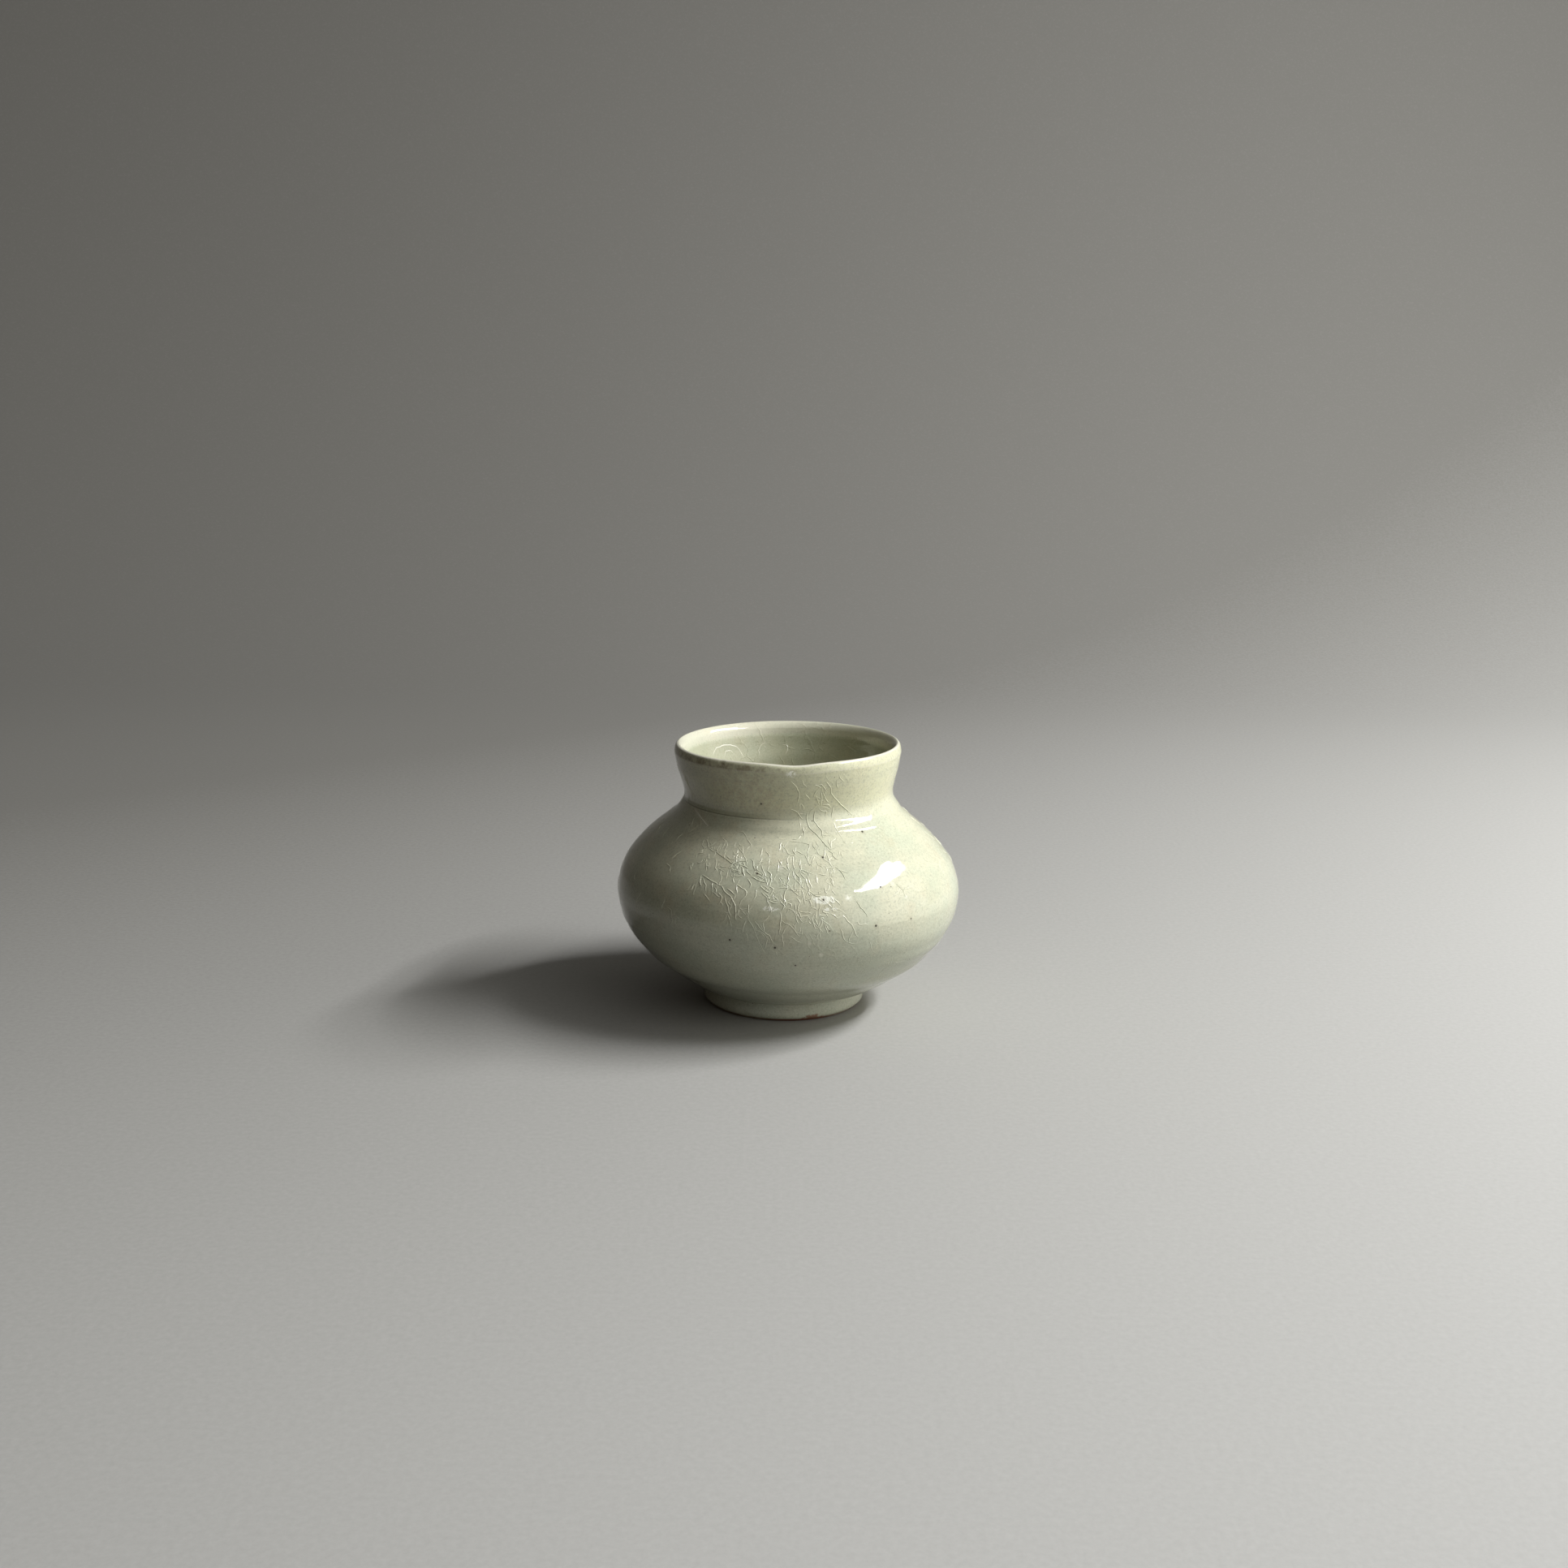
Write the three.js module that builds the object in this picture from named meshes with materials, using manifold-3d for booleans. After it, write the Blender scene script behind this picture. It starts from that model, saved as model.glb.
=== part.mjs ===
// Small wheel-thrown jar: a squat globular body under a low flaring collar, on a turned foot ring,
// in porcelain clay with a grey-green glaze. Millimetres, +Z up, origin under the belly's centre.
// Each clay member and each coat of glaze is a solid of its own. The clay members meet face to face
// on flat luted seams, and each coat is the fired-on layer between the clay and the visible surface.
import * as THREE from "three";
import { mergeVertices } from "three/addons/utils/BufferGeometryUtils.js";
import Module from "manifold-3d";

const wasm = await Module();
wasm.setup();

// Driving dimensions of the glazed surface. The height is the mean one, because the lip slants.
const HEIGHT = 77.4;
const GIRTH_RADIUS = 50;
const GIRTH_HEIGHT = 33.6;
const SHOULDER_RADIUS = 42.5;
const SHOULDER_HEIGHT = 49.4;
const WAIST_RADIUS = 30.4;
const WAIST_HEIGHT = 63;
const LIP_RADIUS = 32.9;
const LIP_THICKNESS = 2.8;
const LIP_ROUND = 2.6;
const FOOT_RADIUS = 23.7;
const FOOT_FLARE = 0.4;
const FOOT_HEIGHT = 5.7;

// The clay wall, thickest in the floor and thinnest under the lip.
const FLOOR_THICKNESS = 5;
const BELLY_WALL = 4;
const WAIST_WALL = 3.4;
const FOOT_RING_WIDTH = 5;
const FOOT_BEVEL = 0.7;

// The coats of glaze, and the bare band that is wiped clean where the jar stands in the kiln.
const OUTER_GLAZE = 0.5;
const INNER_GLAZE = 0.4;
const BARE_BAND = 0.8;

// What the hand leaves: the foot stands a little off the belly's axis, and the collar is luted on
// askew, so that it leans to the left and its lip is higher on the right.
const FOOT_DRIFT = -0.93;
const DRIFT_HEIGHT = 12;
const COLLAR_LEAN = -0.85;
const COLLAR_RISE = 0.58;
const LIP_DIP = 0.6;
const DIP_ANGLE = THREE.MathUtils.degToRad(-86);
const DIP_SPREAD = THREE.MathUtils.degToRad(11);

const SEGMENTS = 40;
const STEPS_PER_SPAN = 2;

const clay = new THREE.MeshStandardMaterial({ color: 0xb59a80, roughness: 0.9, metalness: 0 });
const glaze = new THREE.MeshStandardMaterial({ color: 0xc9cbb0, roughness: 0.12, metalness: 0 });

const at = (radius, height) => new THREE.Vector2(radius, height);

// The glazed outside from the crease over the foot up to the lip. The upper half of the body is
// full and round, and the lower half runs in straighter where the turning tool has pared it. Above
// the shoulder it turns in sharply to the waist.
const share = THREE.MathUtils.lerp;
const creaseRadius = FOOT_RADIUS - FOOT_FLARE;
const outline = new THREE.SplineCurve([
  at(creaseRadius, FOOT_HEIGHT),
  at(share(creaseRadius, GIRTH_RADIUS, 0.206), share(FOOT_HEIGHT, GIRTH_HEIGHT, 0.058)),
  at(share(creaseRadius, GIRTH_RADIUS, 0.659), share(FOOT_HEIGHT, GIRTH_HEIGHT, 0.371)),
  at(share(creaseRadius, GIRTH_RADIUS, 0.905), share(FOOT_HEIGHT, GIRTH_HEIGHT, 0.673)),
  at(GIRTH_RADIUS, GIRTH_HEIGHT),
  at(share(SHOULDER_RADIUS, GIRTH_RADIUS, 0.733), share(GIRTH_HEIGHT, SHOULDER_HEIGHT, 0.546)),
  at(SHOULDER_RADIUS, SHOULDER_HEIGHT),
  at(share(WAIST_RADIUS, SHOULDER_RADIUS, 0.43), share(SHOULDER_HEIGHT, WAIST_HEIGHT, 0.442)),
  at(share(WAIST_RADIUS, SHOULDER_RADIUS, 0.171), share(SHOULDER_HEIGHT, WAIST_HEIGHT, 0.657)),
  at(WAIST_RADIUS, WAIST_HEIGHT),
  at(share(WAIST_RADIUS, LIP_RADIUS, 0.7), share(WAIST_HEIGHT, HEIGHT, 0.535)),
  at(LIP_RADIUS, HEIGHT - LIP_ROUND),
]);
const SPANS = outline.points.length - 1;
const WAIST_SPAN = 9;
const outside = outline.getPoints(SPANS * STEPS_PER_SPAN);
const waistIndex = WAIST_SPAN * STEPS_PER_SPAN;

// A path moved sideways: a positive distance moves a rising path away from the axis.
function offset(path, distance) {
  return path.map((point, i) => {
    const before = path[Math.max(i - 1, 0)];
    const after = path[Math.min(i + 1, path.length - 1)];
    const along = after.clone().sub(before).normalize();
    const amount = typeof distance === "function" ? distance(point.y) : distance;
    return at(point.x + along.y * amount, point.y - along.x * amount);
  });
}

const wallAt = (height) =>
  THREE.MathUtils.mapLinear(
    THREE.MathUtils.clamp(height, GIRTH_HEIGHT, WAIST_HEIGHT),
    GIRTH_HEIGHT,
    WAIST_HEIGHT,
    BELLY_WALL,
    WAIST_WALL,
  );
const LIP_TAPER = (WAIST_WALL - LIP_THICKNESS) / (HEIGHT - WAIST_HEIGHT);
const depthAt = (height) => wallAt(height) - Math.max(height - WAIST_HEIGHT, 0) * LIP_TAPER;

// The outside of the clay lies one coat inside the glazed surface. Its two seams are level.
const clayOutside = offset(outside, -OUTER_GLAZE);
const footSeam = FOOT_HEIGHT + OUTER_GLAZE;
const clayFootRadius = FOOT_RADIUS - OUTER_GLAZE;
clayOutside[0].set(creaseRadius - OUTER_GLAZE, footSeam);
const neckSeam = clayOutside[waistIndex].y;

// The inside of the clay, down to a floor that is dished up into the wall.
const floorHeight = footSeam + FLOOR_THICKNESS;
const FLOOR_DISH = 0.8;
const clayInside = offset(outside, (height) => -depthAt(height) + INNER_GLAZE);
clayInside[waistIndex].y = neckSeam;
const insideBody = clayInside.slice(0, waistIndex + 1).filter((p) => p.y > floorHeight + 2 * FLOOR_DISH);
const insideNeck = clayInside.slice(waistIndex);
const floorEdge = at(0.72 * insideBody[0].x, floorHeight + FLOOR_DISH);
const floorPath = [at(0, floorHeight), at(0.5 * floorEdge.x, floorHeight + 0.15 * FLOOR_DISH), floorEdge];
const wholeInside = [...floorPath, ...insideBody, ...insideNeck.slice(1)];

// The lip is rounded from one side of the wall to the other. Its crest lies nearer the outer face.
const LIP_CREST = 0.42;
const LIP_STEPS = 4;
function lipArc(outerEnd, innerEnd, crown) {
  const crest = share(outerEnd.x, innerEnd.x, LIP_CREST);
  return Array.from({ length: 2 * LIP_STEPS - 1 }, (_, i) => {
    const turn = (Math.PI * (i + 1)) / (2 * LIP_STEPS);
    const across = Math.cos(turn);
    const edge = across > 0 ? outerEnd : innerEnd;
    return at(share(crest, edge.x, Math.abs(across)), share(edge.y, crown, Math.sin(turn)));
  });
}
const clayCrown = HEIGHT - (OUTER_GLAZE + INNER_GLAZE) / 2;
const clayLip = lipArc(clayOutside.at(-1), insideNeck.at(-1), clayCrown);

// The visible surfaces. Both coats end at the top of the lip, where they meet.
const glazedInside = offset(wholeInside, -INNER_GLAZE);
glazedInside[0].set(0, floorHeight + INNER_GLAZE);
const glazedLip = lipArc(outside.at(-1), glazedInside.at(-1), HEIGHT);
const crownIndex = LIP_STEPS - 1;

// The foot: a bevelled ring that flares a little downwards, bare under the glaze line.
const ringInner = FOOT_RADIUS - FOOT_RING_WIDTH;
const footOutside = [
  at(clayFootRadius - FOOT_BEVEL, 0),
  at(clayFootRadius, FOOT_BEVEL),
  clayOutside[0].clone(),
];
const footInside = [at(ringInner, footSeam), at(ringInner, FOOT_BEVEL), at(ringInner + FOOT_BEVEL, 0)];

const smooth = (t) => THREE.MathUtils.smoothstep(t, 0, 1);

// Moves a turned form's points to where the hand left them. Levels slide off the axis as a whole,
// those above the shoulder tip about the front-to-back line, and the lip dips once near the front.
function leftByHand(geometry) {
  const spots = geometry.getAttribute("position");
  for (let i = 0; i < spots.count; i++) {
    const [x, y, z] = [spots.getX(i), spots.getY(i), spots.getZ(i)];
    const foot = 1 - smooth(z / DRIFT_HEIGHT);
    const lean = smooth((z - SHOULDER_HEIGHT) / (HEIGHT - SHOULDER_HEIGHT));
    const askew = smooth((z - SHOULDER_HEIGHT) / (WAIST_HEIGHT - SHOULDER_HEIGHT));
    const collar = smooth((z - neckSeam) / (HEIGHT - neckSeam));
    const turn = Math.atan2(y, x) - DIP_ANGLE;
    const dip = Math.exp(-((turn / DIP_SPREAD) ** 2));
    spots.setXYZ(
      i,
      x + FOOT_DRIFT * foot + COLLAR_LEAN * lean,
      y,
      z + (COLLAR_RISE * askew * x) / LIP_RADIUS - LIP_DIP * collar ** 2 * dip,
    );
  }
  return geometry;
}

// A profile that closes on itself or ends on the axis, turned round +Z into one solid.
function turned(profile) {
  const lathe = new THREE.LatheGeometry(profile, SEGMENTS);
  lathe.deleteAttribute("normal");
  lathe.deleteAttribute("uv");
  const merged = mergeVertices(lathe.rotateX(Math.PI / 2), 1e-4);
  const corners = merged.index.array;
  const faces = [];
  for (let i = 0; i < corners.length; i += 3) {
    const [a, b, c] = corners.slice(i, i + 3);
    if (a !== b && b !== c && c !== a) {
      faces.push(a, b, c);
    }
  }
  merged.setIndex(faces);
  return leftByHand(merged);
}

function solid(geometry) {
  const mesh = new wasm.Mesh({
    numProp: 3,
    vertProperties: geometry.getAttribute("position").array,
    triVerts: new Uint32Array(geometry.index.array),
  });
  return new wasm.Manifold(mesh);
}

function geometryOf(body) {
  const { vertProperties, triVerts } = body.getMesh();
  const geometry = new THREE.BufferGeometry();
  geometry.setAttribute("position", new THREE.BufferAttribute(vertProperties, 3));
  geometry.setIndex(new THREE.BufferAttribute(triVerts, 1));
  return geometry;
}

const closed = (profile) => [...profile, profile[0].clone()];
const downwards = (path) => [...path].reverse();

// The clay members: the thrown body with its floor, the collar luted on at the waist, and the foot
// ring. The last profile runs round all three, for the coats to be cut back to.
const bodyClay = [
  at(0, footSeam),
  ...clayOutside.slice(0, waistIndex + 1),
  ...downwards(insideBody),
  ...downwards(floorPath),
];
const neckClay = closed([...clayOutside.slice(waistIndex), ...clayLip, ...downwards(insideNeck)]);
const footClay = closed([...footOutside, ...footInside]);
const allClay = [
  at(0, footSeam),
  ...footInside,
  ...footOutside,
  ...clayOutside.slice(1),
  ...clayLip,
  ...downwards(wholeInside),
];

// A coat is drawn from its visible surface to a core inside the clay, then cut back to the clay.
const CORE_DEPTH = 1;
const coat = (profile) => geometryOf(solid(turned(profile)).subtract(solid(turned(allClay))));

const outerCore = downwards(offset(clayOutside.slice(1), -CORE_DEPTH));
const innerCore = offset(wholeInside, CORE_DEPTH);
innerCore[0].set(0, floorHeight - CORE_DEPTH);
const lipCore = at(glazedLip[crownIndex].x, clayCrown - CORE_DEPTH);

// Dipped: over the lip, down the outside and over the foot's side to the wiped band.
const dippedCoat = closed([
  at(clayFootRadius, BARE_BAND),
  at(FOOT_RADIUS, BARE_BAND + OUTER_GLAZE),
  ...outside,
  ...glazedLip.slice(0, crownIndex + 1),
  lipCore,
  ...outerCore,
  at(clayFootRadius - CORE_DEPTH, footSeam),
  at(clayFootRadius - CORE_DEPTH, BARE_BAND),
]);

// Poured: from the middle of the floor up to the top of the lip.
const pouredCoat = [...innerCore, lipCore, ...glazedLip.slice(crownIndex), ...downwards(glazedInside)];

// Brushed: the underside within the foot ring, down the ring's inner side to the wiped band.
const brushedCoat = [
  at(0, footSeam - INNER_GLAZE),
  at(ringInner - INNER_GLAZE, footSeam - INNER_GLAZE),
  at(ringInner - INNER_GLAZE, BARE_BAND + INNER_GLAZE),
  at(ringInner, BARE_BAND),
  at(ringInner + CORE_DEPTH, BARE_BAND),
  at(ringInner + CORE_DEPTH, footSeam + CORE_DEPTH),
  at(0, footSeam + CORE_DEPTH),
];

const pieces = {
  body_wall: [turned(bodyClay), clay],
  neck_collar: [turned(neckClay), clay],
  foot_ring: [turned(footClay), clay],
  outer_glaze: [coat(dippedCoat), glaze],
  inner_glaze: [coat(pouredCoat), glaze],
  foot_well_glaze: [coat(brushedCoat), glaze],
};

const jar = new THREE.Group();
for (const [name, [geometry, material]] of Object.entries(pieces)) {
  geometry.computeVertexNormals();
  const mesh = new THREE.Mesh(geometry, material);
  mesh.name = name;
  jar.add(mesh);
}

export default jar;
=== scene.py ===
import math

import bpy
import numpy as np
from mathutils import Matrix, Vector


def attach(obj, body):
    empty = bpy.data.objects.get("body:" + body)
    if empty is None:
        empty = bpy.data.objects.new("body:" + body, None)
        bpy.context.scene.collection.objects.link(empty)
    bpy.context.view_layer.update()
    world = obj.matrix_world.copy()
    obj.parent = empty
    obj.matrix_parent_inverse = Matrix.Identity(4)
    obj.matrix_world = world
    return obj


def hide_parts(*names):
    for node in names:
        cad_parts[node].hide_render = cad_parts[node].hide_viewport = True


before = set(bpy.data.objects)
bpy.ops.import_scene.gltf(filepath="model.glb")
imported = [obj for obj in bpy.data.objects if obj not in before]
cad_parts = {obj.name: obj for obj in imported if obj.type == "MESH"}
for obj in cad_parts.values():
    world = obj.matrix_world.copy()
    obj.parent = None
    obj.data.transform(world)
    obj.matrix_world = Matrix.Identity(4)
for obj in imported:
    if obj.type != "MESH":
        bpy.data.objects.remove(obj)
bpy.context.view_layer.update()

# A small wheel-thrown jar in a crackled grey-green glaze. Forms are worked out in millimetres
# about the belly's axis, with the jar standing on z = 0, and go to Blender in metres.
MM = 0.001

# ---- The form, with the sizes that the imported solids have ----

HEIGHT = 77.4
GIRTH_RADIUS, GIRTH_HEIGHT = 50.0, 33.6
SHOULDER_RADIUS, SHOULDER_HEIGHT = 42.5, 49.4
WAIST_RADIUS, WAIST_HEIGHT = 30.4, 63.0
LIP_RADIUS, LIP_THICKNESS, LIP_ROUND, LIP_CREST = 32.9, 2.8, 2.6, 0.42
FOOT_RADIUS, FOOT_FLARE, FOOT_HEIGHT = 23.7, 0.4, 5.7
CREASE_RADIUS = FOOT_RADIUS - FOOT_FLARE
FOOT_RING_WIDTH, FOOT_BEVEL = 5.0, 0.7
FLOOR_THICKNESS, FLOOR_DISH = 5.0, 0.8
BELLY_WALL, WAIST_WALL = 4.0, 3.4
OUTER_GLAZE, INNER_GLAZE = 0.5, 0.4
BARE_BAND = 0.8

# How full the lip's outer and inner corners are: 1 is a quarter of an ellipse, less is squarer
# and more is closer to a flat bevel.
OUTER_CORNER, INNER_CORNER = 0.86, 1.45

# The height over which the outer coat swells to its full thickness above the bare band.
SWELL = 0.7

# How many points each level of a turned surface has.
TURNS = 360
# Edges that turn by more than this are left sharp.
SHARP_EDGE = math.radians(50)


def share(low, high, part):
    return low + (high - low) * part


def smooth(part):
    part = np.clip(part, 0, 1)
    return part * part * (3 - 2 * part)


def bell(distance, width):
    return np.exp(-((distance / width) ** 2))


def spline(points, steps):
    """A smooth path through the points, as the imported solids' own spline runs."""
    points = np.array(points, float)
    ends = np.vstack([points[:1], points, points[-1:]])
    path = []
    for a, b, c, d in zip(ends, ends[1:], ends[2:], ends[3:]):
        for t in np.arange(steps) / steps:
            start, finish = (c - a) / 2, (d - b) / 2
            path.append(
                (2 * b - 2 * c + start + finish) * t**3
                + (3 * c - 3 * b - 2 * start - finish) * t**2
                + start * t
                + b
            )
    return np.array(path + [points[-1]])


def respaced(path, heights, gaps):
    """The same path with its points set the given gaps apart, in mm, at each height."""
    length = np.hypot(*np.diff(path, axis=0).T)
    pace = length / np.interp((path[1:, 1] + path[:-1, 1]) / 2, heights, gaps)
    gone = np.concatenate([[0.0], np.cumsum(pace)])
    stops = np.linspace(0, gone[-1], math.ceil(gone[-1]) + 1)
    return np.column_stack([np.interp(stops, gone, path[:, k]) for k in (0, 1)])


def normals(path):
    """Unit normals to the right of a rising path, away from the axis."""
    along = np.gradient(path, axis=0)
    along /= np.linalg.norm(along, axis=1)[:, None]
    return np.column_stack([along[:, 1], -along[:, 0]])


def eased(corners, radius, steps=4):
    """An open path with each inner corner rounded off."""
    corners = np.array(corners, float)
    path = [corners[0]]
    for before, corner, after in zip(corners, corners[1:], corners[2:]):
        back, on = before - corner, after - corner
        reach = min(radius, np.linalg.norm(back) / 2.2, np.linalg.norm(on) / 2.2)
        start = corner + back / np.linalg.norm(back) * reach
        finish = corner + on / np.linalg.norm(on) * reach
        for t in np.linspace(0, 1, steps + 1):
            path.append((1 - t) ** 2 * start + 2 * t * (1 - t) * corner + t**2 * finish)
    return np.array(path + [corners[-1]])


def lip(outer_end, inner_end, crown, steps):
    """The rounded top of the wall, without its two ends. Its crest lies nearer the outer face."""
    crest = share(outer_end[0], inner_end[0], LIP_CREST)
    path = []
    for turn in np.linspace(0, math.pi, 2 * steps + 1)[1:-1]:
        edge = outer_end if math.cos(turn) > 1e-9 else inner_end
        power = OUTER_CORNER if edge is outer_end else INNER_CORNER
        across, up = abs(math.cos(turn)) ** power, math.sin(turn) ** power
        path.append((share(crest, edge[0], across), share(edge[1], crown, up)))
    return np.array(path)


OUTLINE = [
    (CREASE_RADIUS, FOOT_HEIGHT),
    (share(CREASE_RADIUS, GIRTH_RADIUS, 0.206), share(FOOT_HEIGHT, GIRTH_HEIGHT, 0.058)),
    (share(CREASE_RADIUS, GIRTH_RADIUS, 0.659), share(FOOT_HEIGHT, GIRTH_HEIGHT, 0.371)),
    (share(CREASE_RADIUS, GIRTH_RADIUS, 0.905), share(FOOT_HEIGHT, GIRTH_HEIGHT, 0.673)),
    (GIRTH_RADIUS, GIRTH_HEIGHT),
    (share(SHOULDER_RADIUS, GIRTH_RADIUS, 0.733), share(GIRTH_HEIGHT, SHOULDER_HEIGHT, 0.546)),
    (SHOULDER_RADIUS, SHOULDER_HEIGHT),
    (share(WAIST_RADIUS, SHOULDER_RADIUS, 0.43), share(SHOULDER_HEIGHT, WAIST_HEIGHT, 0.442)),
    (share(WAIST_RADIUS, SHOULDER_RADIUS, 0.171), share(SHOULDER_HEIGHT, WAIST_HEIGHT, 0.657)),
    (WAIST_RADIUS, WAIST_HEIGHT),
    (share(WAIST_RADIUS, LIP_RADIUS, 0.7), share(WAIST_HEIGHT, HEIGHT, 0.535)),
    (LIP_RADIUS, HEIGHT - LIP_ROUND),
]

# ---- What the hand leaves ----

FOOT_DRIFT, DRIFT_HEIGHT = -0.93, 12.0
COLLAR_LEAN, COLLAR_RISE = -0.85, 0.58
LIP_DIP, DIP_ANGLE, DIP_SPREAD = 0.6, math.radians(-86), math.radians(11)


def left_by_hand(points):
    """The foot slides off the axis, the collar leans and tips, and the lip dips once in front."""
    x, y, z = points.T
    foot = 1 - smooth(z / DRIFT_HEIGHT)
    lean = smooth((z - SHOULDER_HEIGHT) / (HEIGHT - SHOULDER_HEIGHT))
    askew = smooth((z - SHOULDER_HEIGHT) / (WAIST_HEIGHT - SHOULDER_HEIGHT))
    collar = smooth((z - WAIST_HEIGHT) / (HEIGHT - WAIST_HEIGHT))
    dip = bell(np.arctan2(y, x) - DIP_ANGLE, DIP_SPREAD)
    return np.column_stack(
        [
            x + FOOT_DRIFT * foot + COLLAR_LEAN * lean,
            y,
            z + COLLAR_RISE * askew * x / LIP_RADIUS - LIP_DIP * collar**2 * dip,
        ]
    )


# Small knocks on the lip's outer edge, as (angle in degrees, height, depth).
LIP_NICKS = [
    (-124.4, 76.8, 0.24), (-137.5, 76.3, 0.18), (-141.0, 76.0, 0.14), (-16.0, 74.6, 0.2),
    (38.0, 76.7, 0.15),
]


def outer_relief(angle, height):
    """What the fingers, the turning tool and the glaze's flow leave outside, in mm outwards."""
    rise = smooth((height - FOOT_HEIGHT - 1) / 5)
    throwing = 0.03 * np.sin(2 * math.pi * height / 7.3 - angle + 1.3)
    throwing += 0.012 * np.sin(2 * math.pi * height / 3.1 + angle)
    throwing *= 1 - 0.8 * smooth((height - 36) / 8)
    throwing += 0.05 * np.sin(2 * angle + 0.6 + height / 21)
    # The turning tool pares the lower half in three straight bands with soft corners.
    turning = 0.14 * bell(height - 15.6, 1.7) - 0.12 * bell(height - 11.7, 1.9)
    turning += 0.08 * bell(height - 23.0, 1.9) - 0.13 * bell(height - 19.2, 1.8)
    turning += 0.07 * bell(height - 27.2, 1.3)
    # The collar was luted on here: a soft groove, a thin crease under it and a fuller shoulder.
    unevenly = 1 + 0.3 * np.sin(3 * angle + 1.0)
    leftwards = smooth((np.cos(angle + math.radians(140)) - 0.2) / 0.6)
    waist = (
        -0.09 * leftwards * bell(height - 62.3, 0.9)
        - 0.06 * leftwards * unevenly * bell(height - 61.4, 0.28)
    )
    waist += 0.06 * bell(height - 59.9, 1.6)
    right_front = bell(angle - math.radians(-55.8), 0.86)
    waist += right_front * (0.25 * bell(height - 59.0, 1.2) + 0.1 * bell(height - 56.6, 1.6))
    # The rim was pressed between two fingers, and a thin line marks where they ended.
    finger = 0.03 * unevenly * bell(height - 75.1, 0.3) - 0.02 * bell(height - 75.9, 0.5)
    nicks = sum(
        -depth * bell((angle - math.radians(where)) * LIP_RADIUS, 0.55) * bell(height - level, 0.6)
        for where, level, depth in LIP_NICKS
    )
    glaze_roll = 0.1 * bell(height - 6.3, 0.4)
    return rise * (throwing + turning) + waist + finger + nicks + glaze_roll


def inner_relief(angle, height):
    """Finger rings inside the wall, and the soft edge under the rounded rim."""
    rings = 0.03 * np.sin(2 * math.pi * height / 5.2 + angle) * smooth((height - 16) / 6)
    rings *= 1 - smooth((height - 71) / 2)
    return rings - 0.06 * bell(height - 73.6, 0.5)


def solid_piece(name, points, faces):
    """A smooth-shaded piece of the jar, from points in millimetres."""
    mesh = bpy.data.meshes.new(name)
    mesh.from_pydata((points * MM).tolist(), [], faces)
    mesh.validate()
    mesh.polygons.foreach_set("use_smooth", [True] * len(mesh.polygons))
    mesh.set_sharp_from_angle(angle=SHARP_EDGE)
    piece = bpy.data.objects.new(name, mesh)
    bpy.context.scene.collection.objects.link(piece)
    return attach(piece, "root")


def turned(name, profile, relief=None, turns=TURNS):
    """A closed mesh turned round +Z. Its profile is a loop, or starts and ends on the axis."""
    profile = np.array(profile, float)
    angles = np.arange(turns) * 2 * math.pi / turns - math.pi
    rows, points = [], []
    for (radius, height), (right, up) in zip(profile, normals(profile)):
        if radius < 1e-6:
            rows.append([len(points)] * turns)
            points.append((0.0, 0.0, height))
            continue
        rows.append(list(range(len(points), len(points) + turns)))
        push = relief(angles, height) if relief else 0 * angles
        r = radius + push * right
        points.extend(
            np.column_stack([r * np.cos(angles), r * np.sin(angles), height + push * up]).tolist()
        )
    ends_on_axis = profile[0][0] < 1e-6 and profile[-1][0] < 1e-6
    pairs = list(zip(rows, rows[1:])) + ([] if ends_on_axis else [(rows[-1], rows[0])])
    faces = []
    for low, high in pairs:
        for i in range(turns):
            k = (i + 1) % turns
            corners = [low[i], low[k], high[k], high[i]]
            face = [c for n, c in enumerate(corners) if c not in corners[:n]]
            if len(face) > 2:
                faces.append(face)
    return solid_piece(name, left_by_hand(np.array(points)), faces)


# ---- The profiles of the coats and the foot ring ----

# Points lie closest together at the crease over the foot, at the waist and at the lip.
outside = respaced(
    spline(OUTLINE, 60),
    [0, 7, 12, 57, 60, 64, 67, 73, 75],
    [0.2, 0.35, 0.55, 0.55, 0.12, 0.12, 0.4, 0.35, 0.16],
)
walls = [BELLY_WALL, WAIST_WALL, LIP_THICKNESS]
wall = np.interp(outside[:, 1], [GIRTH_HEIGHT, WAIST_HEIGHT, HEIGHT], walls)
inside = outside - normals(outside) * wall[:, None]
floor_top = FOOT_HEIGHT + OUTER_GLAZE + FLOOR_THICKNESS + INNER_GLAZE
# The floor inside is dished, and curves up into the wall just over its own level.
inside = inside[inside[:, 1] > floor_top + 1.2][::2]
floor_edge = inside[0][0]
floor_path = [
    (0, floor_top),
    (0.4 * floor_edge, floor_top + 0.1),
    (0.72 * floor_edge, floor_top + FLOOR_DISH),
    inside[0],
]
inside = np.vstack([spline(floor_path, 8)[:-1], inside])
over_lip = lip(outside[-1], inside[-1], HEIGHT, 12)
crown = len(over_lip) // 2

outer_back = outside[::10] - normals(outside)[::10] * OUTER_GLAZE
inner_back = inside[::6] + normals(inside)[::6] * INNER_GLAZE
inner_back[0] = (0, floor_top - INNER_GLAZE)
clay_crown = (over_lip[crown][0], HEIGHT - OUTER_GLAZE)
foot_edge = FOOT_RADIUS - OUTER_GLAZE
foot_side = [
    (FOOT_RADIUS - OUTER_GLAZE * (1 - part) ** 2, share(BARE_BAND, BARE_BAND + SWELL, part))
    for part in (0, 0.15, 0.35, 0.6, 1)
]
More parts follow.
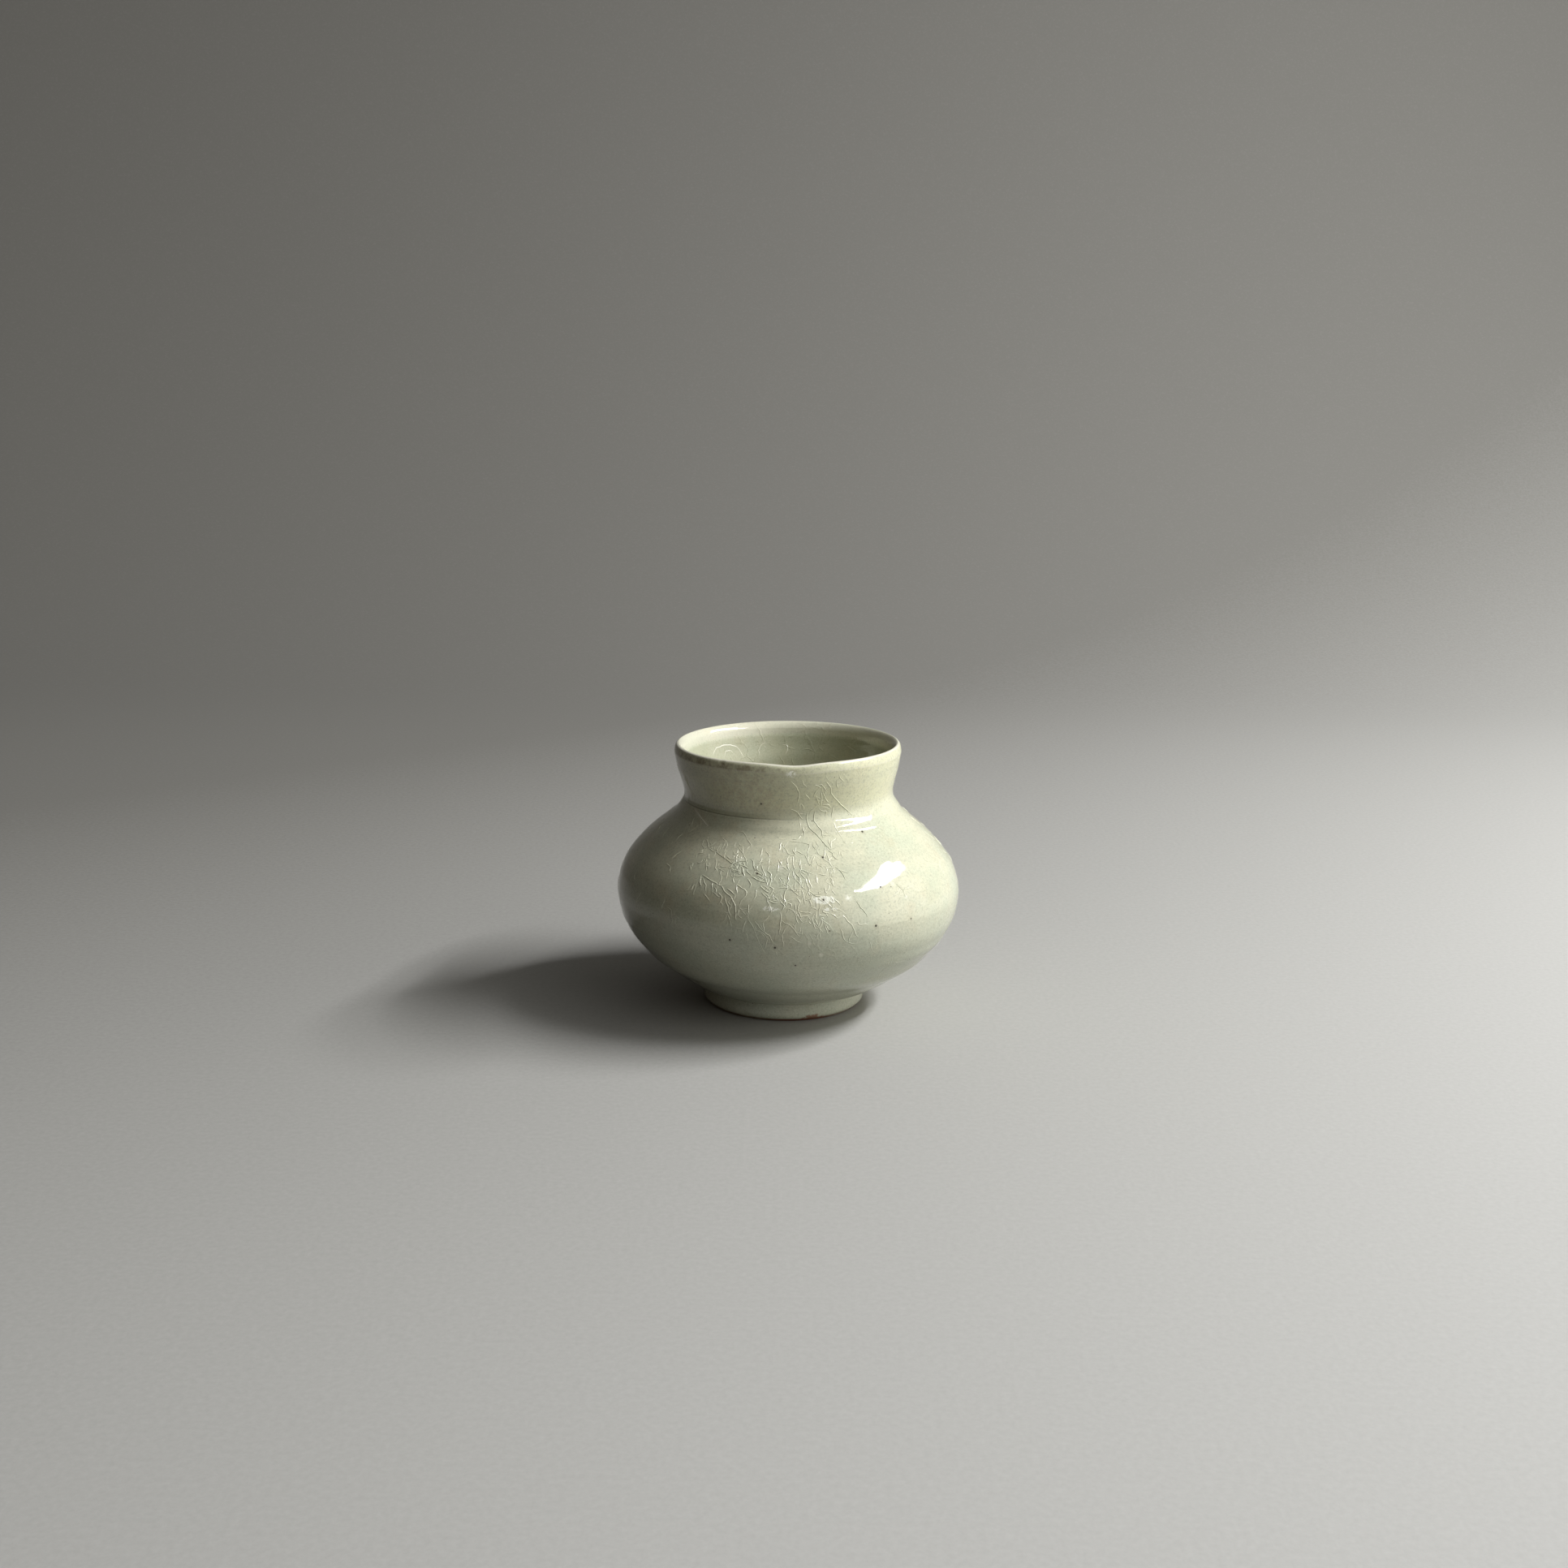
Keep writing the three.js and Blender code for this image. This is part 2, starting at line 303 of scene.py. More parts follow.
# The side of the foot is a little hollow: it flares most near the bottom.
foot_side += [
    (CREASE_RADIUS + FOOT_FLARE * (1 - part) ** 1.6, share(BARE_BAND + SWELL, FOOT_HEIGHT, part))
    for part in (0.15, 0.3, 0.45, 0.6, 0.75, 0.9)
]
outside_run = np.concatenate([[0.0], np.cumsum(np.hypot(*np.diff(outside, axis=0).T))])
outer_profile = np.vstack(
    [foot_side, outside, over_lip[: crown + 1], [clay_crown], outer_back[::-1]]
)
inner_profile = np.vstack([inner_back, [clay_crown], over_lip[crown:], inside[::-1]])

ring_inner = FOOT_RADIUS - FOOT_RING_WIDTH
foot_seam = FOOT_HEIGHT + OUTER_GLAZE
ring_profile = eased(
    [
        ((ring_inner + foot_edge) / 2, 0),
        (foot_edge - FOOT_BEVEL, 0),
        (foot_edge, FOOT_BEVEL),
        (CREASE_RADIUS - OUTER_GLAZE, foot_seam),
        (ring_inner, foot_seam),
        (ring_inner, FOOT_BEVEL),
        (ring_inner + FOOT_BEVEL, 0),
        ((ring_inner + foot_edge) / 2, 0),
    ],
    0.45,
)[:-1]
well_top = foot_seam - INNER_GLAZE
well_profile = np.vstack(
    [
        [(0, well_top)],
        eased(
            [
                (2, well_top),
                (ring_inner - INNER_GLAZE, well_top),
                (ring_inner - INNER_GLAZE, BARE_BAND + INNER_GLAZE),
                (ring_inner, BARE_BAND),
                (ring_inner, foot_seam),
                (2, foot_seam),
            ],
            1.2,
            6,
        ),
        [(0, foot_seam)],
    ]
)

# ---- The crackle: low ridges where the glaze healed over its shrinkage cracks ----

# How far a crack goes in a step, and how near it comes to another before it stops, in mm.
CREEP, NEAREST = 0.4, 0.42
# Real ridges are about 0.2 mm wide. They are drawn twice as wide, so that they show.
RIDGE_WIDTH, RIDGE_RISE = 0.42, 0.11
# How far most cracks lie from the jar's axis, in mm.
CRACK_RADIUS = 45
# How many steps a crack's ends take to taper off, and how high its ends still are.
TAPER_STEPS, TAPER_END = 3, 0.06

# The longest cracks in front, each as corner points of (angle in degrees, height as thrown).
LONG_CRACKS = [
    [(-88.5, 73.3), (-86.1, 71.5), (-84.3, 69.1), (-85, 66)],
    [(-83.1, 73.4), (-81.9, 71.7), (-80.3, 71.1)],
    [(-72.7, 69.4), (-70.5, 66.8), (-68.4, 65.7)],
    [(-71.3, 72.3), (-68.3, 70.1), (-68.3, 68.7), (-63.5, 65.9), (-56.5, 62.2), (-54.9, 61.2)],
    [(-80.6, 63.3), (-80.8, 61.1), (-79.7, 59.3), (-77.1, 57.8), (-72.1, 54)],
    [(-75.7, 64), (-77.1, 61.2), (-75.5, 59.4), (-73.8, 58.4), (-74.1, 56.8)],
    [(-65.7, 65.1), (-66.4, 63), (-67.3, 61.4)],
    [(-66.8, 60.6), (-66.3, 58.6), (-64.6, 56.2)],
    [(-89.9, 56.3), (-85.8, 56.1), (-80.9, 55.5), (-82.3, 53.9), (-82.6, 52), (-81.7, 50.7)],
    [(-77.4, 55.1), (-77.9, 53.6), (-76.3, 52.8)],
    [(-64.6, 74.3), (-63.8, 72.8), (-61.3, 71.5)],
    [(-101.6, 54.7), (-101.6, 52.6)],
    [(-93.4, 56.3), (-94.2, 53.9)],
    [(-121.7, 52.8), (-117.4, 51.9), (-112.5, 50.8), (-109.8, 50.4)],
    [(-120.3, 52.4), (-121.5, 53.2), (-120.7, 54.5)],
    [(-119.2, 55.5), (-117.6, 54.2), (-117.8, 52.6)],
    [(-112.8, 54.6), (-108.8, 52.9), (-106.9, 51.5), (-105.6, 50.4)],
    [(-85.9, 52.7), (-85.8, 50.2), (-83, 49.6), (-81.2, 49.1)],
    [(-89.7, 50), (-90.4, 46.8), (-91.5, 44), (-90.7, 41.6)],
    [(-104.6, 47.9), (-103, 46.4), (-103.1, 45.6)],
    [(-108.6, 46.3), (-105.4, 45.3), (-103.9, 44.5), (-105.1, 42.9), (-105.8, 41.4)],
    [(-113.6, 45.7), (-111.6, 44.2), (-109, 43.2), (-107.1, 40.8), (-106.5, 37.4)],
    [(-98.6, 49.4), (-98, 47.3)],
    [(-95.7, 48.4), (-96.5, 46.9), (-96.4, 45.8)],
    [(-103.8, 48.4), (-101.4, 47.6), (-97.6, 47.1)],
    [(-83.5, 48.7), (-82.6, 47.3), (-82.3, 45.7)],
    [(-88, 49.9), (-86.3, 48.2), (-86.2, 46.4)],
    [(-106.1, 41.1), (-103, 38.7), (-100.7, 35.9), (-99, 31.8), (-97, 28.2)],
    [(-100.8, 37.6), (-97.8, 35.3), (-95.5, 33.4), (-94.4, 31.7)],
    [(-92.6, 40.5), (-92.3, 37.4), (-92.7, 34.1)],
    [(-92.2, 37.4), (-89.7, 37.2), (-87.8, 35), (-86.5, 33.6)],
    [(-89.7, 37.2), (-91.8, 34.7), (-91.4, 30.6)],
    [(-87.3, 43.8), (-86.2, 42.8), (-87, 41.6), (-86.8, 39.6), (-85.9, 38.3)],
    [(-85.3, 46.4), (-85.1, 44), (-84.6, 42.1)],
    [(-67.5, 42.4), (-66.1, 40.6), (-64.3, 38)],
    [(-72.9, 39.2), (-71.7, 37.8), (-69.7, 36.3), (-67.8, 32.8)],
    [(-63.2, 31.4), (-62, 28.2)],
    [(-93.6, 29.3), (-93, 27.1)],
    [(-122.3, 47.2), (-118.3, 46.4), (-114, 45.4), (-112.2, 46)],
    [(-119, 43.2), (-116, 41.2)],
    [(-111.1, 43.2), (-109.8, 40.6), (-108, 38.1)],
    [(-148.5, 60.7), (-142, 59.5), (-133.9, 57.9)],
    [(-141.1, 62.8), (-139.5, 62)],
]

# Where the crackle is close, as (angle, height, reach in mm, number of cracks).
CRACKLED = [
    # In front.
    (-79, 55, 11, 44), (-86, 47, 9, 110), (-104, 47, 11, 110), (-118, 50, 9, 80),
    (-84, 40.5, 7, 54), (-98, 36, 9, 16), (-70, 66, 8, 24), (-122, 54, 8, 20), (-56, 27, 8, 8),
    (-70, 38, 9, 10),
    # Round the sides and the back.
    (20, 45, 20, 60), (75, 35, 22, 60), (128, 50, 18, 55), (168, 30, 16, 35), (-160, 60, 12, 25),
    (-35, 40, 12, 12), (-140, 38, 14, 16), (100, 68, 12, 20),
]

# The few cracks inside that show from the mouth.
INNER_CRACKS = [
    [
        (142, 69.6), (138.8, 71.1), (133.5, 71.7), (126.9, 71.6), (122.4, 70.8), (120.5, 69.3),
        (119.5, 67.4),
    ],
    [(133, 68.5), (131.3, 69.9), (127.4, 70.1), (125.2, 68.8)],
    [(103.8, 71.2), (106.7, 70.7), (108.6, 69.2), (108.4, 67.7)],
    [(93.9, 70.8), (90.8, 70.4), (90.2, 68.9), (91.8, 67.8)],
    [(104.7, 70.3), (103.4, 69.5)],
]


def skin(path, relief):
    """A turned face, as the run along its profile at a height, and its points at angle and run."""
    run = np.concatenate([[0.0], np.cumsum(np.hypot(*np.diff(path, axis=0).T))])
    outwards = normals(path)
    rising = 1 if path[-1][1] > path[0][1] else -1

    def run_at(height):
        return np.interp(height, path[::rising, 1], run[::rising])

    def spots(angle, along, lift):
        radius, height = (np.interp(along, run, path[:, k]) for k in (0, 1))
        right, up = (np.interp(along, run, outwards[:, k]) for k in (0, 1))
        push = relief(angle, height) + lift
        radius = radius + push * right
        return left_by_hand(
            np.column_stack([radius * np.cos(angle), radius * np.sin(angle), height + push * up])
        )

    return run_at, spots


def stepped(corners, spots, chance):
    """A crack through its corner points of (angle, run), in short steps with a slight tremble."""
    path = [corners[0]]
    for start, finish in zip(corners, corners[1:]):
        ends = spots(np.array([start[0], finish[0]]), np.array([start[1], finish[1]]), 0.0)
        steps = max(1, round(np.linalg.norm(ends[1] - ends[0]) / CREEP))
        path += [
            tuple(share(np.array(start), np.array(finish), k / steps))
            for k in range(1, steps + 1)
        ]
    path = np.array(path)
    if len(path) > 4:
        blend = [0.25, 0.5, 0.25]
        path[1:-1] = np.column_stack([np.convolve(path[:, k], blend, "valid") for k in (0, 1)])
    tremble = np.convolve(chance.normal(0, 0.09, len(path) + 2), [0.5, 1.0, 0.5], "valid")
    path[:, 0] += tremble / CRACK_RADIUS
    path[:, 1] += 0.6 * np.roll(tremble, 3)
    return path


def radius_at(along):
    """The radius outside at a run along the profile."""
    return np.interp(along, outside_run, outside[:, 0])


def crept(start, heading, length, spots, taken, chance):
    """A crack that creeps on from a point, bends now and then, and stops at one in its way."""
    angle, along = start
    path = [(angle, along)]
    for step in range(int(length / CREEP)):
        heading += chance.normal(0, 0.2)
        if chance.random() < 0.07:
            heading += chance.choice([-1, 1]) * chance.uniform(0.5, 1.2)
        angle += CREEP * math.cos(heading) / radius_at(along)
        along += CREEP * math.sin(heading)
        path.append((angle, along))
        if step > 3 and taken:
            here = spots(np.array([angle]), np.array([along]), 0.0)
            if np.min(np.linalg.norm(np.vstack(taken) - here, axis=1)) < NEAREST:
                break
    return np.array(path)


def ridge(path, spots, width, rise):
    """A low ridge along a crack, with tapered ends: its rings of five points and its faces."""
    count = len(path)
    here = spots(path[:, 0], path[:, 1], 0.0)
    along = np.gradient(here, axis=0)
    along /= np.linalg.norm(along, axis=1)[:, None] + 1e-9
    lifted = spots(path[:, 0], path[:, 1], 1.0)
    across = np.cross(along, lifted - here)
    across /= np.linalg.norm(across, axis=1)[:, None] + 1e-9
    ends = np.minimum(np.arange(count), np.arange(count)[::-1]) / TAPER_STEPS
    taper = np.sqrt(np.clip(ends + TAPER_END, 0, 1))
    up = lifted - here
    rings = []
    # The section, as shares of the width and lifts in mm. Its two edges lie just under the glaze.
    for part, lift in (
        (-0.5, -0.03), (-0.24, 0.62 * rise), (0, rise), (0.24, 0.62 * rise), (0.5, -0.03)
    ):
        lift = np.where(lift > 0, lift * taper, lift)
        rings.append(here + across * (part * width * taper)[:, None] + up * lift[:, None])
    points = np.stack(rings, axis=1).reshape(-1, 3)
    faces = [
        (5 * i + k, 5 * i + (k + 1) % 5, 5 * i + 5 + (k + 1) % 5, 5 * i + 5 + k)
        for i in range(count - 1)
        for k in range(5)
    ]
    faces += [(4, 3, 2, 1, 0), tuple(5 * count - 5 + k for k in range(5))]
    return points, faces


def crackle_ridges(name, face, cracks, crackled, seed):
    """All the ridges of one face of the jar, as one mesh: the long cracks first, then the net."""
    run_at, spots = face
    chance = np.random.default_rng(seed)
    paths, taken = [], []

    def keep(path):
        paths.append(path)
        taken.append(spots(path[:, 0], path[:, 1], 0.0))

    for corners in cracks:
        corners = [(math.radians(angle), float(run_at(height))) for angle, height in corners]
        keep(stepped(corners, spots, chance))
    for angle, height, reach, number in crackled:
        centre, middle = math.radians(angle), float(run_at(height))
        patch = []
        for _ in range(number):
            if patch and chance.random() < 0.5:
                parent = patch[chance.integers(len(patch))]
                start = parent[chance.integers(len(parent))]
            else:
                away = reach * math.sqrt(chance.random())
                turn = chance.uniform(0, 2 * math.pi)
                start = (
                    centre + away * math.cos(turn) / radius_at(middle),
                    middle + away * math.sin(turn),
                )
            # Most cracks run steeply, and are 1.4 to 5 mm long.
            heading = chance.normal(-1.25, 0.55) + math.pi * chance.integers(2)
            path = crept(start, heading, chance.uniform(1.4, 5.0), spots, taken, chance)
            # None reaches the foot or the lip.
            if len(path) > 3 and path[:, 1].min() > 8 and path[:, 1].max() < outside_run[-1] - 2.5:
                patch.append(path)
                keep(path)

    points, faces, count = [], [], 0
    for path in paths:
        # They are finer low on the belly and at the back.
        fineness = share(0.62, 1.0, smooth((path[:, 1].mean() - run_at(32)) / 14))
        fineness *= share(1.0, 0.7, smooth(0.5 + math.sin(path[:, 0].mean())))
        width = RIDGE_WIDTH * chance.uniform(0.7, 1.15)
        rise = RIDGE_RISE * chance.uniform(0.6, 1.1) * fineness
        ring_points, ring_faces = ridge(path, spots, width, rise)
        faces += [tuple(count + corner for corner in one) for one in ring_faces]
        points.append(ring_points)
        count += len(ring_points)
    return solid_piece(name, np.vstack(points), faces)


# ---- Finishes ----


def srgb(code):
    """A colour written as six hex digits, as the linear values that a shader takes."""
    parts = [int(code[i : i + 2], 16) / 255 for i in (0, 2, 4)]
    return [c / 12.92 if c <= 0.04045 else ((c + 0.055) / 1.055) ** 2.4 for c in parts] + [1.0]


def add(tree, kind, inputs=None, **settings):
    """Adds a node with its settings, and links or sets its inputs."""
    made = tree.nodes.new(kind)
    for name, value in settings.items():
        setattr(made, name, value)
    for socket, value in (inputs or {}).items():
        if isinstance(value, bpy.types.NodeSocket):
            tree.links.new(value, made.inputs[socket])
        else:
            made.inputs[socket].default_value = value
    return made


def new_material(name):
    material = bpy.data.materials.new(name)
    material.use_nodes = True
    material.node_tree.nodes.clear()
    return material, material.node_tree


def place(tree):
    """Object coordinates in millimetres, and the height as thrown, before the collar was tipped."""
    where = add(tree, "ShaderNodeTexCoord").outputs["Object"]
    mm = add(
        tree, "ShaderNodeVectorMath", {0: where, "Scale": 1 / MM}, operation="SCALE"
    ).outputs[0]
    spot = add(tree, "ShaderNodeSeparateXYZ", {0: mm}).outputs
    ends = {
        "Value": spot["Z"],
        "From Min": SHOULDER_HEIGHT,
        "From Max": WAIST_HEIGHT,
        "To Max": -COLLAR_RISE / LIP_RADIUS,
    }
    tip = add(tree, "ShaderNodeMapRange", ends, interpolation_type="SMOOTHSTEP").outputs[0]
    height = add(
        tree, "ShaderNodeMath", {0: tip, 1: spot["X"], 2: spot["Z"]}, operation="MULTIPLY_ADD"
    ).outputs[0]
    dip = near(tree, mm, (1.5, -LIP_RADIUS, HEIGHT), 5.6, 5.6, (1, 1, 0.5))
    height = add(
        tree, "ShaderNodeMath", {0: dip, 1: LIP_DIP, 2: height}, operation="MULTIPLY_ADD"
    ).outputs[0]
    return mm, height


def near(tree, mm, centre, radius, edge, squash=(1, 1, 1)):
    """1 within a ball of that radius about a point, in mm, and 0 beyond its soft edge."""
    if squash != (1, 1, 1):
        mm = add(tree, "ShaderNodeVectorMath", {0: mm, 1: squash}, operation="MULTIPLY").outputs[0]
        centre = tuple(c * s for c, s in zip(centre, squash))
    away = add(
        tree, "ShaderNodeVectorMath", {0: mm, 1: centre}, operation="DISTANCE"
    ).outputs["Value"]
    ends = {"Value": away, "From Min": radius + edge, "From Max": radius - edge}
    return add(tree, "ShaderNodeMapRange", ends, interpolation_type="SMOOTHSTEP").outputs[0]


def between(tree, height, low, high, edge):
    """1 between two heights, in mm, and 0 beyond their soft edges."""
    over = {"Value": height, "From Min": low - edge, "From Max": low + edge}
    under = {"Value": height, "From Min": high + edge, "From Max": high - edge}
    over = add(tree, "ShaderNodeMapRange", over, interpolation_type="SMOOTHSTEP").outputs[0]
    under = add(tree, "ShaderNodeMapRange", under, interpolation_type="SMOOTHSTEP").outputs[0]
    return add(tree, "ShaderNodeMath", {0: over, 1: under}, operation="MULTIPLY").outputs[0]


def most_of(tree, amounts):
    """The largest of several amounts at each point."""
    most = amounts[0]
    for amount in amounts[1:]:
        most = add(tree, "ShaderNodeMath", {0: most, 1: amount}, operation="MAXIMUM").outputs[0]
    return most


def tinted(tree, colour, amount, strength, tint):
    """A colour with a tint laid over it, by an amount that varies over the surface."""
    amount = add(tree, "ShaderNodeMath", {0: amount, 1: strength}, operation="MULTIPLY").outputs[0]
    return add(
        tree, "ShaderNodeMix", {0: amount, 6: colour, 7: srgb(tint)}, data_type="RGBA"
    ).outputs[2]


def on_outside(angle, height):
    """The point of the finished outside at an angle in degrees and a height as thrown."""
    radius = np.interp(height, outside[:, 1], outside[:, 0])
    turn = math.radians(angle)
    spot = np.array([[radius * math.cos(turn), radius * math.sin(turn), height]])
    return tuple(left_by_hand(spot)[0].tolist())


def crackle(tree, mm, cell, width, curl, region):
    """The ridges over the cracks of a shrunken glaze, from 0 to 1: broken, curling lines.

    Real ones are about 0.15 mm wide. They are drawn about 0.4 mm wide, so that they show.
    """
    bend = add(
        tree,
        "ShaderNodeTexNoise",
        {"Vector": mm, "Scale": 0.9 / cell, "Detail": 3.0, "Roughness": 0.6},
    )
    shift = add(
        tree,
        "ShaderNodeVectorMath",
        {0: bend.outputs["Color"], 1: (0.5, 0.5, 0.5)},
        operation="SUBTRACT",
    )
    shift = add(
        tree, "ShaderNodeVectorMath", {0: shift.outputs[0], "Scale": curl * cell}, operation="SCALE"
    )
    bent = add(
        tree, "ShaderNodeVectorMath", {0: mm, 1: shift.outputs[0]}, operation="ADD"
    ).outputs[0]
    cells = add(
        tree,
        "ShaderNodeTexVoronoi",
        {"Vector": bent, "Scale": 1 / cell},
        feature="DISTANCE_TO_EDGE",
    )
    ends = {"Value": cells.outputs["Distance"], "From Min": width / cell, "From Max": 0.0}
    line = add(tree, "ShaderNodeMapRange", ends, interpolation_type="SMOOTHSTEP").outputs[0]
    gaps = add(tree, "ShaderNodeTexNoise", {"Vector": mm, "Scale": 0.75 / cell, "Detail": 2.0})
    ends = {"Value": gaps.outputs["Fac"], "From Min": 0.4, "From Max": 0.52}
    kept = add(tree, "ShaderNodeMapRange", ends, interpolation_type="SMOOTHSTEP").outputs[0]
    line = add(tree, "ShaderNodeMath", {0: line, 1: kept}, operation="MULTIPLY").outputs[0]
    return add(tree, "ShaderNodeMath", {0: line, 1: region}, operation="MULTIPLY").outputs[0]


# Iron specks, as (angle, height, radius of the speck), and pale pinholes filled with glaze.
IRON_SPECKS = [
    (-52.8, 57.1, 0.42), (-76.3, 52.7, 0.36), (-61.5, 35.4, 0.36), (-47.4, 35.5, 0.26),
    (-102.4, 49.7, 0.2), (-57.3, 45.0, 0.34), (-78.6, 43.2, 0.3), (-77.1, 35.2, 0.2),
    (-108.4, 31.7, 0.34), (-94.0, 30.4, 0.36), (-87.4, 24.9, 0.28), (-104.0, 65.7, 0.3),
    (-101.6, 49.0, 0.3), (35, 50, 0.36), (92, 40, 0.4), (110, 28, 0.3), (170, 44, 0.38),
]
PALE_SPOTS_AND_STREAK_GLINT = [
    (-79.4, 28.2, 0.6), (-83.2, 31.7, 0.45), (-93, 50.6, 0.6), (-52, 45.2, 0.6), (-48, 41.4, 0.55),
    (60, 38, 0.6), (140, 47, 0.5),
]
# A painted highlight runs down the shoulder under the collar, on the left: a pale streak along a
# crack, where its ridge catches the light.
PALE_SPOTS_AND_STREAK_GLINT += [(-148.5 + 1.62 * k, 60.7 - 0.31 * k, 0.42) for k in range(10)]


def celadon_glaze(name, outer_side, healed_ridge_highlight=0.0):
    """Feldspar glaze with a little iron, fired in reduction over porcelain clay.

    It is a thick, glossy, slightly milky glass, so its colour is soft and its highlights are sharp.
    It is greener where it pools, and paler and warmer where it runs thin over an edge. By the
    amount given it is painted paler over healed cracks: partly thin glaze, partly a painted
    highlight.
    """
    material, tree = new_material(name)
    mm, height = place(tree)

    # Clouds of colour, 10 to 25 mm across, from the kiln's changing air.
    clouds = add(
        tree, "ShaderNodeTexNoise", {"Vector": mm, "Scale": 0.07, "Detail": 3.0, "Roughness": 0.55}
    )
    ends = {"Value": clouds.outputs["Fac"], "From Min": 0.35, "From Max": 0.65}
    cloudy = add(tree, "ShaderNodeMapRange", ends, interpolation_type="SMOOTHSTEP").outputs[0]
    colours = {0: cloudy, 6: srgb("D0D4BA"), 7: srgb("DFDDC1")}
    colour = add(tree, "ShaderNodeMix", colours, data_type="RGBA").outputs[2]

    # Warm buff blushes, 4 to 10 mm, where the iron came to the surface.
    blush = add(
        tree, "ShaderNodeTexNoise", {"Vector": mm, "Scale": 0.13, "Detail": 4.0, "Roughness": 0.6}
    )
    ends = {"Value": blush.outputs["Fac"], "From Min": 0.52, "From Max": 0.72}
    blushes = add(tree, "ShaderNodeMapRange", ends, interpolation_type="SMOOTHSTEP").outputs[0]
    colour = tinted(tree, colour, blushes, 0.35, "D0C3A0")

    # Greyer and greener on the lower body, where the glaze ran down and lies thick.
    ends = {"Value": height, "From Min": 44.0, "From Max": 24.0}
    low_down = add(tree, "ShaderNodeMapRange", ends, interpolation_type="SMOOTHSTEP").outputs[0]
    colour = tinted(tree, colour, low_down, 0.5, "C4CAB8")
    # Warmer, buff glaze on the collar, where it is thinner over the clay.
    ends = {"Value": height, "From Min": 60.5, "From Max": 65.5}
    high_up = add(tree, "ShaderNodeMapRange", ends, interpolation_type="SMOOTHSTEP").outputs[0]
    colour = tinted(tree, colour, high_up, 0.7 if outer_side else 0.0, "E6E4BE")

    # Faint level streaks about 2 mm apart, where the glaze follows the throwing rings.
    level = add(
        tree, "ShaderNodeVectorMath", {0: mm, 1: (0.02, 0.02, 0.5)}, operation="MULTIPLY"
    ).outputs[0]
    streaks = add(
        tree, "ShaderNodeTexNoise", {"Vector": level, "Scale": 1.0, "Detail": 3.0, "Roughness": 0.6}
    )
    ends = {"Value": streaks.outputs["Fac"], "From Min": 0.4, "From Max": 0.75}
    streaky = add(tree, "ShaderNodeMapRange", ends, interpolation_type="SMOOTHSTEP").outputs[0]
    colour = tinted(tree, colour, streaky, 0.25, "BCBDA4")

    # Fine mottle, 0.4 to 0.8 mm, of bubbles and unmelted grains in the glass.
    mottle = add(
        tree, "ShaderNodeTexNoise", {"Vector": mm, "Scale": 1.5, "Detail": 3.0, "Roughness": 0.7}
    )
    ends = {"Value": mottle.outputs["Fac"], "From Min": 0.45, "From Max": 0.75}
    mottled = add(tree, "ShaderNodeMapRange", ends, interpolation_type="SMOOTHSTEP").outputs[0]
    colour = tinted(tree, colour, mottled, 0.6, "A9AB90")
    grains = add(
        tree, "ShaderNodeTexNoise", {"Vector": mm, "Scale": 2.6, "Detail": 2.0, "Roughness": 0.7}
    )
    ends = {"Value": grains.outputs["Fac"], "From Min": 0.5, "From Max": 0.72}
    grainy = add(tree, "ShaderNodeMapRange", ends, interpolation_type="SMOOTHSTEP").outputs[0]
    colour = tinted(tree, colour, grainy, 0.45, "F2F0DC")

    # Orange-peel waves, 3 mm across and a hundredth of a millimetre high.
    peel = add(tree, "ShaderNodeTexNoise", {"Vector": mm, "Scale": 0.33, "Detail": 2.0})
    relief = add(
        tree, "ShaderNodeMath", {0: peel.outputs["Fac"], 1: 0.03}, operation="MULTIPLY"
    ).outputs[0]
    relief = add(
        tree,
        "ShaderNodeMath",
        {0: mottle.outputs["Fac"], 1: 0.01, 2: relief},
        operation="MULTIPLY_ADD",
    ).outputs[0]

    # The crackle that is too fine for ridges of its own: broken lines 6 mm apart.
    patches = add(
        tree, "ShaderNodeTexNoise", {"Vector": mm, "Scale": 0.06, "Detail": 1.0}
    ).outputs["Fac"]
    ends = {
        "Value": patches, "From Min": 0.35, "From Max": 0.55, "To Max": 0.3 if outer_side else 0.7
    }
    region = add(tree, "ShaderNodeMapRange", ends, interpolation_type="SMOOTHSTEP").outputs[0]
    lines = crackle(tree, mm, 5.5, 0.4, 0.9, region)
    relief = add(
        tree, "ShaderNodeMath", {0: lines, 1: 0.06, 2: relief}, operation="MULTIPLY_ADD"
    ).outputs[0]
    colour = tinted(tree, colour, lines, 0.1, "8F9078")

    if outer_side:
        # Thick, greener glaze pooled in the groove at the waist, and painted shade: the groove and
        # the thin crease under the collar are painted darker on the left, fading out towards the
        # lit right.
        pooled_glaze_and_shade = between(tree, height, 61.4, 62.6, 0.4)
        painted_crease_shade = between(tree, height, 61.28, 61.5, 0.13)
        fading = near(tree, mm, on_outside(-130, 61.4), 20, 12)
        pooled_glaze_and_shade = add(tree, "ShaderNodeMath", {0: pooled_glaze_and_shade, 1: fading}, operation="MULTIPLY").outputs[0]
        painted_crease_shade = add(
            tree, "ShaderNodeMath", {0: painted_crease_shade, 1: fading}, operation="MULTIPLY"
        ).outputs[0]
        # Painted shade, with the greener pooled glaze: the groove and the crease line are darkened.
        colour = tinted(tree, colour, pooled_glaze_and_shade, 0.3, "A2A688")
        colour = tinted(tree, colour, painted_crease_shade, 0.65, "66644E")
